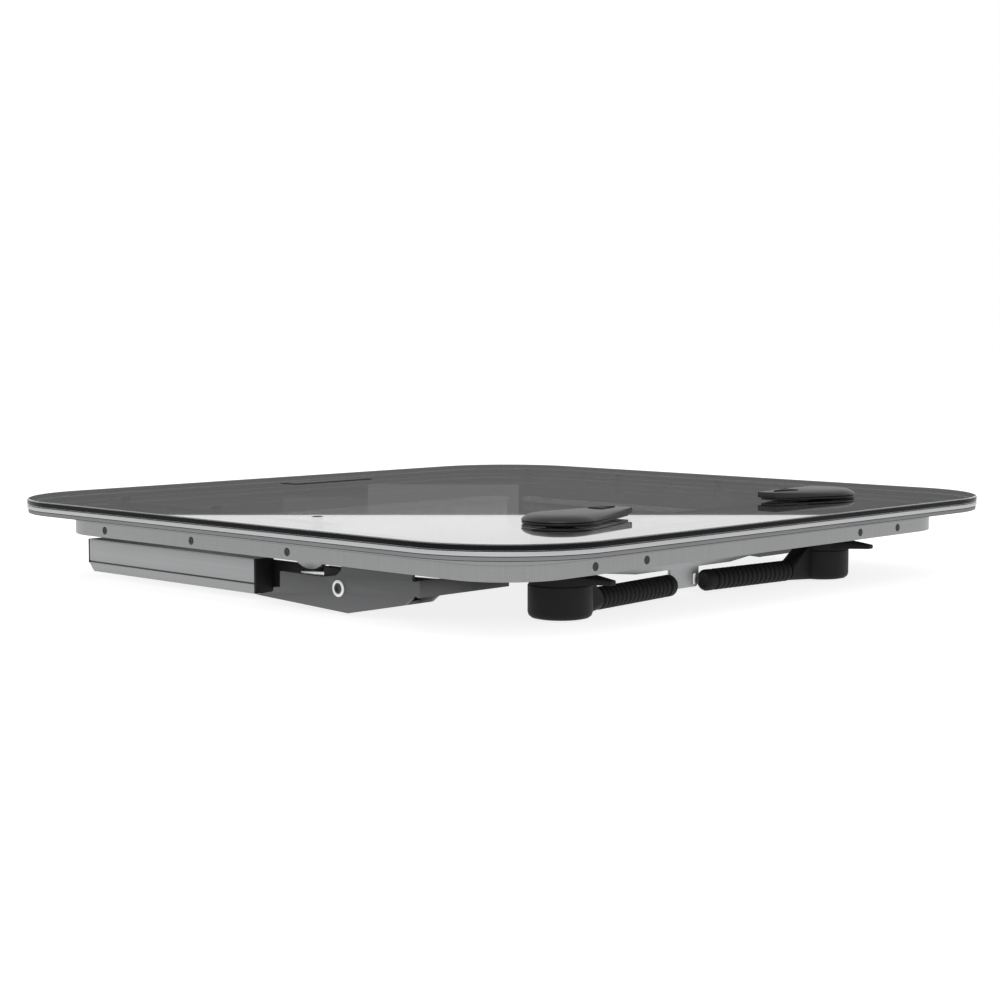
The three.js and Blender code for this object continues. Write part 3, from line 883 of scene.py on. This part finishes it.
class HATCH_OT_badge(bpy.types.Operator):
    """A blank raised plate near the lid's rear edge"""

    bl_idname = "hatch.badge"
    bl_label = "Blank badge"

    def execute(self, context):
        low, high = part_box("blank_badge")
        piece = block("blank_badge_plate", low, high)
        edit(piece)
        pick_faces(piece, lambda middle, normal: normal.z > 0.9)
        bpy.ops.mesh.inset(thickness=2 * MM, depth=0)
        bpy.ops.mesh.inset(thickness=0.3 * MM, depth=-0.3 * MM)
        to_object_mode()
        soften(piece, 0.2 * MM, 2)
        finish_piece(piece, MATERIALS["screw"], "lid", "satin_aluminium", "blank_badge")
        return NOTHING


class HATCH_OT_outer_handles(bpy.types.Operator):
    """The teardrop handles on top of the lid"""

    bl_idname = "hatch.outer_handles"
    bl_label = "Outer handles"

    def execute(self, context):
        size = sizes()
        for side, word in SIDES:
            node = f"outer_handle_{word}"
            low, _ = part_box(node)
            x, y = spindle_place(word)
            turn = size.outer_rest if side < 0 else pi - size.outer_rest
            body = self.body(node, low.z)
            swing(body, 0, 0, turn)
            stand(body, (x, y, 0))
            finish_piece(body, MATERIALS["gloss"], f"{word}_handle", "gloss_black", node, angle=28)
            recess = self.recess(node, low.z)
            swing(recess, 0, 0, turn)
            stand(recess, (x, y, 0))
            finish_piece(recess, MATERIALS["plastic"], f"{word}_handle", "black_plastic")
        return NOTHING

    def body(self, node, foot):
        """A foot and a crown over it, pointing along +X from the spindle, with a slot between."""
        r = OUTER_ROUND_RADIUS
        tip = OUTER_TIP_REACH
        foot_profile = [
            (0, 0),
            (r - 1.2 * MM, 0),
            (r - 0.4 * MM, 0.6 * MM),
            (r - 0.3 * MM, 1.9 * MM),
            (r - 1 * MM, 2.4 * MM),
            (0, 2.4 * MM),
        ]
        foot_low = (tip - 9 * MM, -7.5 * MM, foot + 1.2 * MM)
        foot_high = (tip - 2 * MM, 7.5 * MM, foot + 2.6 * MM)
        lower = hull(
            "foot",
            stand(turned("foot_round", foot_profile, 72), (0, 0, foot)),
            block("foot_tip", foot_low, foot_high),
        )
        soften(lower, 0.4 * MM, 2, 25)
        crown_profile = [
            (0, 0),
            (0.95 * r, 0),
            (r, 0.8 * MM),
            (0.97 * r, 2.2 * MM),
            (0.9 * r, 3.7 * MM),
            (0.78 * r, 5 * MM),
            (0.6 * r, 5.8 * MM),
            (0.3 * r, 6.3 * MM),
            (0, 6.4 * MM),
        ]
        crown_low = (tip - 14 * MM, -9.5 * MM, foot + 3 * MM)
        crown_high = (tip, 9.5 * MM, foot + 7.6 * MM)
        upper = hull(
            "crown",
            stand(turned("crown_round", crown_profile, 72), (0, 0, foot + 2.1 * MM)),
            block("crown_tip", crown_low, crown_high),
        )
        soften(upper, 0.8 * MM, 3, 24)
        return joined(node + "_body", lower, upper)

    def recess(self, node, foot):
        """A low dark wedge on the crown near its tip, with a sunk middle."""
        clear_selection()
        top = foot + 8.3 * MM
        bpy.ops.mesh.primitive_cylinder_add(
            vertices=3, radius=13 * MM, depth=1.2 * MM, location=(0, 0, 0)
        )
        piece = named(node + "_recess")
        edit(piece)
        bpy.ops.mesh.select_all(action="SELECT")
        bpy.ops.transform.rotate(value=pi / 2, orient_axis="Z", center_override=(0, 0, 0))
        bpy.ops.transform.resize(value=(1.25, 0.62, 1))
        bpy.ops.transform.translate(value=(49 * MM, 0, top))
        pick_faces(piece, lambda middle, normal: normal.z > 0.9)
        bpy.ops.mesh.inset(thickness=1.1 * MM, depth=-0.7 * MM)
        to_object_mode()
        soften(piece, 0.35 * MM, 2, 30)
        return piece


def spindle_place(word):
    """Where a handle's spindle stands."""
    low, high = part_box(f"spindle_{word}")
    return (low.x + high.x) / 2, (low.y + high.y) / 2


class HATCH_OT_inner_handles(bpy.types.Operator):
    """The hubs under the lid, each with its dog and the neck of its lever"""

    bl_idname = "hatch.inner_handles"
    bl_label = "Inner handles"

    def execute(self, context):
        size = sizes()
        for side, word in SIDES:
            node = f"inner_handle_{word}"
            low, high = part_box(node)
            x, y = spindle_place(word)
            hub = self.hub(low.z, high.z)
            dog = self.dog(high.z, low.y - y)
            lever = self.neck(low.z, high.z)
            swing(lever, 0, 0, size.lever_rest if side < 0 else pi - size.lever_rest)
            body = joined(node + "_body", hub, dog, lever)
            stand(body, (x, y, 0))
            finish_piece(body, MATERIALS["plastic"], f"{word}_handle", "black_plastic", node)
        return NOTHING

    def hub(self, bottom, top):
        r = HUB_RADIUS
        depth = top - bottom
        profile = [
            (0, 1.2 * MM),
            (9 * MM, 1.2 * MM),
            (9.6 * MM, 0.3 * MM),
            (r - 5 * MM, 0),
            (r - 2.6 * MM, 0.5 * MM),
            (r - 0.8 * MM, 2 * MM),
            (r, 4.4 * MM),
            (r, depth - 10 * MM),
            (r - 0.7 * MM, depth - 9.4 * MM),
            (r - 0.7 * MM, depth - 1 * MM),
            (r - 1.6 * MM, depth),
            (0, depth),
        ]
        return stand(turned("hub", profile, 72), (0, 0, bottom))

    def dog(self, top, reach):
        """The wedge that closes against the striker, with a shallow ramp on its top."""
        root = block("dog_root", (-16.5 * MM, -4 * MM, top - 8.4 * MM), (16.5 * MM, 0, top - 0.2 * MM))
        tip = block("dog_tip", (-3 * MM, reach, top - 6.4 * MM), (3 * MM, reach + 5 * MM, top - 3 * MM))
        piece = hull("dog", root, tip)
        soften(piece, 0.7 * MM, 2)
        return piece

    def neck(self, bottom, top):
        """The lever's neck along +X: a deep web at the hub that runs out into the grip."""
        size = sizes()
        z = size.lever_height
        end = size.grip_start
        disc = [(0, 0), (8.2 * MM, 0), (8.2 * MM, 1.5 * MM), (0, 1.5 * MM)]
        tail = stand(turned("tail", disc, 40), (end - 1.5 * MM, 0, z), (0, pi / 2, 0))
        root = block(
            "neck_root",
            (17 * MM, -7.6 * MM, bottom + 0.6 * MM),
            (21 * MM, 7.6 * MM, top - 3.7 * MM),
        )
        neck = hull("neck", root, tail)
        soften(neck, 0.7 * MM, 3, 30)
        back = block("web_back", (17 * MM, -3.2 * MM, z), (22 * MM, 3.2 * MM, top - 3.6 * MM))
        nose = block("web_nose", (end - 5 * MM, -1.6 * MM, z), (end - 2 * MM, 1.6 * MM, z + 8.4 * MM))
        web = hull("web", back, nose)
        soften(web, 0.8 * MM, 3)
        return joined("neck_and_web", neck, web)


class HATCH_OT_lever_grips(bpy.types.Operator):
    """The ribbed rubber grips"""

    bl_idname = "hatch.lever_grips"
    bl_label = "Lever grips"

    def execute(self, context):
        size = sizes()
        for side, word in SIDES:
            node = f"lever_grip_{word}"
            x, y = spindle_place(word)
            piece = turned(node + "_ribs", self.profile(), 44)
            stand(piece, (size.grip_start + 0.1 * MM, 0, size.lever_height), (0, pi / 2, 0))
            swing(piece, 0, 0, size.lever_rest if side < 0 else pi - size.lever_rest)
            stand(piece, (x, y, 0))
            finish_piece(piece, MATERIALS["rubber"], f"{word}_handle", "black_rubber", node, angle=50)
        return NOTHING

    def profile(self):
        size = sizes()
        pitch = size.rib_pitch
        length = size.lever_length - size.grip_start - 0.1 * MM
        r = 8.6 * MM
        groove = r - 1.5 * MM
        profile = [(0, 0), (groove, 0), (groove, 1.2 * MM)]
        for rib in range(16):
            start = 1.4 * MM + rib * pitch
            profile += [
                (groove, start),
                (r - 0.4 * MM, start + 0.35 * MM),
                (r, start + 1.1 * MM),
                (r, start + pitch - 2.1 * MM),
                (r - 0.4 * MM, start + pitch - 1.4 * MM),
                (groove, start + pitch - 1.05 * MM),
            ]
        cap = length - 8.6 * MM
        profile += [(groove, cap), (r, cap + 0.6 * MM), (r, length - 2.2 * MM)]
        profile += [(r - 0.8 * MM, length - 0.7 * MM), (r - 2.4 * MM, length)]
        return profile + [(r - 3.4 * MM, length - 0.6 * MM), (0, length - 0.6 * MM)]


class HATCH_OT_arms(bpy.types.Operator):
    """The lifting arms, their end caps and root plates"""

    bl_idname = "hatch.arms"
    bl_label = "Lifting arms"

    def execute(self, context):
        for _, word in SIDES:
            body = f"{word}_arm"
            node = f"arm_box_{word}"
            box = from_frame(node, 0.4 * MM)
            finish_piece(box, MATERIALS["arm"], body, "arm_aluminium", node)
            for part in ("arm_front_cap", "arm_rear_plug", "arm_root"):
                node = f"{part}_{word}"
                piece = from_frame(node, 0.5 * MM)
                finish_piece(piece, MATERIALS["plastic"], body, "black_plastic", node)
            node = f"lid_hinge_pin_{word}"
            piece = from_frame(node, 0.5 * MM)
            finish_piece(piece, MATERIALS["steel"], body, "stainless", node)
        return NOTHING


class HATCH_OT_hinge_brackets(bpy.types.Operator):
    """The brackets on the side rails, with their stop blocks and spring blades"""

    bl_idname = "hatch.hinge_brackets"
    bl_label = "Hinge brackets"

    def execute(self, context):
        parts = (
            ("hinge_bracket", "bracket", "dark_bracket", 0.4 * MM),
            ("mount_rail", "aluminium", "satin_aluminium", 0.5 * MM),
            ("stop_block", "plastic", "black_plastic", 0.8 * MM),
            ("spring_blade", "steel", "stainless", 0.2 * MM),
            ("striker", "steel", "stainless", 0.3 * MM),
        )
        for part, material, slot, width in parts:
            for _, word in SIDES:
                node = f"{part}_{word}"
                piece = from_frame(node, width)
                finish_piece(piece, MATERIALS[material], "frame", slot, node)
        return NOTHING


class HATCH_OT_pivots(bpy.types.Operator):
    """The pivot bolts and their white washers"""

    bl_idname = "hatch.pivots"
    bl_label = "Pivots"

    def execute(self, context):
        for side, word in SIDES:
            node = f"pivot_washer_{word}"
            low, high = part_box(node)
            r = (high.y - low.y) / 2
            y, z = (low.y + high.y) / 2, (low.z + high.z) / 2
            outer = low.x if side < 0 else high.x
            ring_profile = [
                (4 * MM, -0.9 * MM),
                (r, -0.9 * MM),
                (r, -0.3 * MM),
                (r - 0.4 * MM, 0),
                (4.6 * MM, 0.2 * MM),
                (4 * MM, -0.1 * MM),
                (4 * MM, -0.9 * MM),
            ]
            washer = turned(node + "_ring", ring_profile, 48)
            stand(washer, (outer, y, z), (0, side * pi / 2, 0))
            finish_piece(washer, MATERIALS["nylon"], "frame", "white_nylon", node)
            node = f"pivot_bolt_{word}"
            low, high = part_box(node)
            length = high.x - low.x
            nut = 4 * MM
            profile = [
                (0, -1.1 * MM),
                (1.9 * MM, -1.0 * MM),
                (2.1 * MM, 0),
                (3.3 * MM, 0),
                (3.75 * MM, -0.4 * MM),
                (3.75 * MM, nut - length),
                (6.2 * MM, nut - length - 0.2 * MM),
                (6.5 * MM, nut - length - 0.6 * MM),
                (6.5 * MM, 0.6 * MM - length),
                (5.9 * MM, -length),
                (0, -length),
            ]
            bolt = turned(node + "_shank", profile, 36)
            outer = low.x if side < 0 else high.x
            stand(bolt, (outer, y, z), (0, side * pi / 2, 0))
            finish_piece(bolt, MATERIALS["screw"], "frame", "stainless", node)
        return NOTHING


class HATCH_OT_lid_fittings(bpy.types.Operator):
    """The lid's rails, bushes, spindles and lock bridge"""

    bl_idname = "hatch.lid_fittings"
    bl_label = "Lid fittings"

    def execute(self, context):
        parts = [
            ("lock_bridge", "aluminium", "satin_aluminium", "lid"),
            ("bridge_catch", "steel", "stainless", "lid"),
        ]
        for _, word in SIDES:
            parts += [
                (f"lid_rail_{word}", "aluminium", "satin_aluminium", "lid"),
                (f"handle_bush_{word}", "plastic", "black_plastic", "lid"),
                (f"spindle_{word}", "steel", "stainless", f"{word}_handle"),
            ]
        for node, material, slot, body in parts:
            piece = from_frame(node, 0.25 * MM)
            finish_piece(piece, MATERIALS[material], body, slot, node)
        return NOTHING


class HATCH_OT_stage(bpy.types.Operator):
    """The floor, the light and the reflection cards"""

    bl_idname = "hatch.stage"
    bl_label = "Stage"

    def execute(self, context):
        scene = context.scene
        scene.view_settings.view_transform = "Standard"
        world = scene.world or bpy.data.worlds.new("studio")
        scene.world = world
        world.use_nodes = True
        background = world.node_tree.nodes["Background"]
        background.inputs["Color"].default_value = (1, 1, 1, 1)
        background.inputs["Strength"].default_value = 1.0
        self.floor()
        self.light()
        self.cards()
        return NOTHING

    def floor(self):
        clear_selection()
        bpy.ops.mesh.primitive_plane_add(size=60, location=(0, 0, CAD_BOX[0].z - 1 * MM))
        floor = named("floor")
        shader = Shader("pale_floor")
        shader.surface(
            Base_Color=(0.4, 0.4, 0.4, 1),
            Roughness=0.9,
            Emission_Color=(1, 1, 1, 1),
            Emission_Strength=0.82,
            Specular_IOR_Level=0.0,
        )
        floor.data.materials.append(shader.material)

    def light(self):
        """One soft light high up at the front left."""
        data = bpy.data.lights.new("soft_light", "AREA")
        data.energy = 22
        data.size = 1.8
        lamp = bpy.data.objects.new("soft_light", data)
        lamp.location = (-2.0, -1.4, 1.9)
        aim = Vector((0, 0, 0)) - lamp.location
        lamp.rotation_euler = aim.to_track_quat("-Z", "Y").to_euler()
        bpy.context.scene.collection.objects.link(lamp)

    def cards(self):
        """Grey cards behind the hatch that only show as the lid's reflections."""
        self.card("far_card", 6.0, (-7, 7), (-0.6, 0.574), 0.15)
        self.card("left_card", 5.95, (-0.53, 0.068), (0.447, 0.569), 0.2)
        self.card("low_card", 5.97, (-0.87, -0.31), (0.5, 0.571), 0.168)

    def card(self, name, distance, across, heights, tone):
        clear_selection()
        bpy.ops.mesh.primitive_plane_add(size=1)
        card = named(name)
        middle = (across[0] + across[1]) / 2
        card.rotation_euler = (pi / 2, 0, HEADING - pi / 2)
        card.scale = (across[1] - across[0], heights[1] - heights[0], 1)
        card.location = (
            distance * cos(HEADING) + middle * sin(HEADING),
            distance * sin(HEADING) - middle * cos(HEADING),
            (heights[0] + heights[1]) / 2,
        )
        settle(card)
        shader = Shader(name + "_grey")
        shader.surface(
            Base_Color=(0, 0, 0, 1),
            Roughness=1.0,
            Specular_IOR_Level=0.0,
            Emission_Color=(tone, tone, tone * 1.01, 1),
            Emission_Strength=1.0,
        )
        card.data.materials.append(shader.material)
        card.visible_camera = False
        card.visible_diffuse = False
        card.visible_shadow = False
        card.visible_transmission = False


def add_camera():
    data = bpy.data.cameras.new("camera")
    camera = bpy.data.objects.new("camera", data)
    bpy.context.scene.collection.objects.link(camera)
    look = Vector((cos(HEADING) * cos(DROP), sin(HEADING) * cos(DROP), -sin(DROP)))
    camera.location = CAMERA_PLACE
    camera.rotation_euler = look.to_track_quat("-Z", "Y").to_euler()
    data.lens = CAMERA_LENS
    data.sensor_width = 36
    bpy.context.scene.camera = camera


class HATCH_PT_panel(bpy.types.Panel):
    bl_label = "Deck hatch"
    bl_idname = "HATCH_PT_panel"
    bl_space_type = "VIEW_3D"
    bl_region_type = "UI"
    bl_category = "Hatch"

    def draw(self, context):
        scene = context.scene
        for group in (scene.hatch_sizes, scene.hatch_colours):
            for name in group.__annotations__:
                self.layout.prop(group, name)
        for operator in OPERATORS:
            self.layout.operator(operator.bl_idname)


OPERATORS = (
    HATCH_OT_finishes,
    HATCH_OT_deck_frame,
    HATCH_OT_seals,
    HATCH_OT_pane,
    HATCH_OT_screws,
    HATCH_OT_studs,
    HATCH_OT_badge,
    HATCH_OT_outer_handles,
    HATCH_OT_inner_handles,
    HATCH_OT_lever_grips,
    HATCH_OT_arms,
    HATCH_OT_hinge_brackets,
    HATCH_OT_pivots,
    HATCH_OT_lid_fittings,
    HATCH_OT_stage,
)
CLASSES = (HatchSizes, HatchColours, *OPERATORS, HATCH_PT_panel)


def register():
    for made in CLASSES:
        bpy.utils.register_class(made)
    bpy.types.Scene.hatch_sizes = PointerProperty(type=HatchSizes)
    bpy.types.Scene.hatch_colours = PointerProperty(type=HatchColours)


def unregister():
    del bpy.types.Scene.hatch_colours
    del bpy.types.Scene.hatch_sizes
    for made in reversed(CLASSES):
        bpy.utils.unregister_class(made)


def main():
    register()
    add_camera()
    for operator in OPERATORS:
        group, name = operator.bl_idname.split(".")
        getattr(getattr(bpy.ops, group), name)()
    clear_selection()


if __name__ == "__main__":
    main()
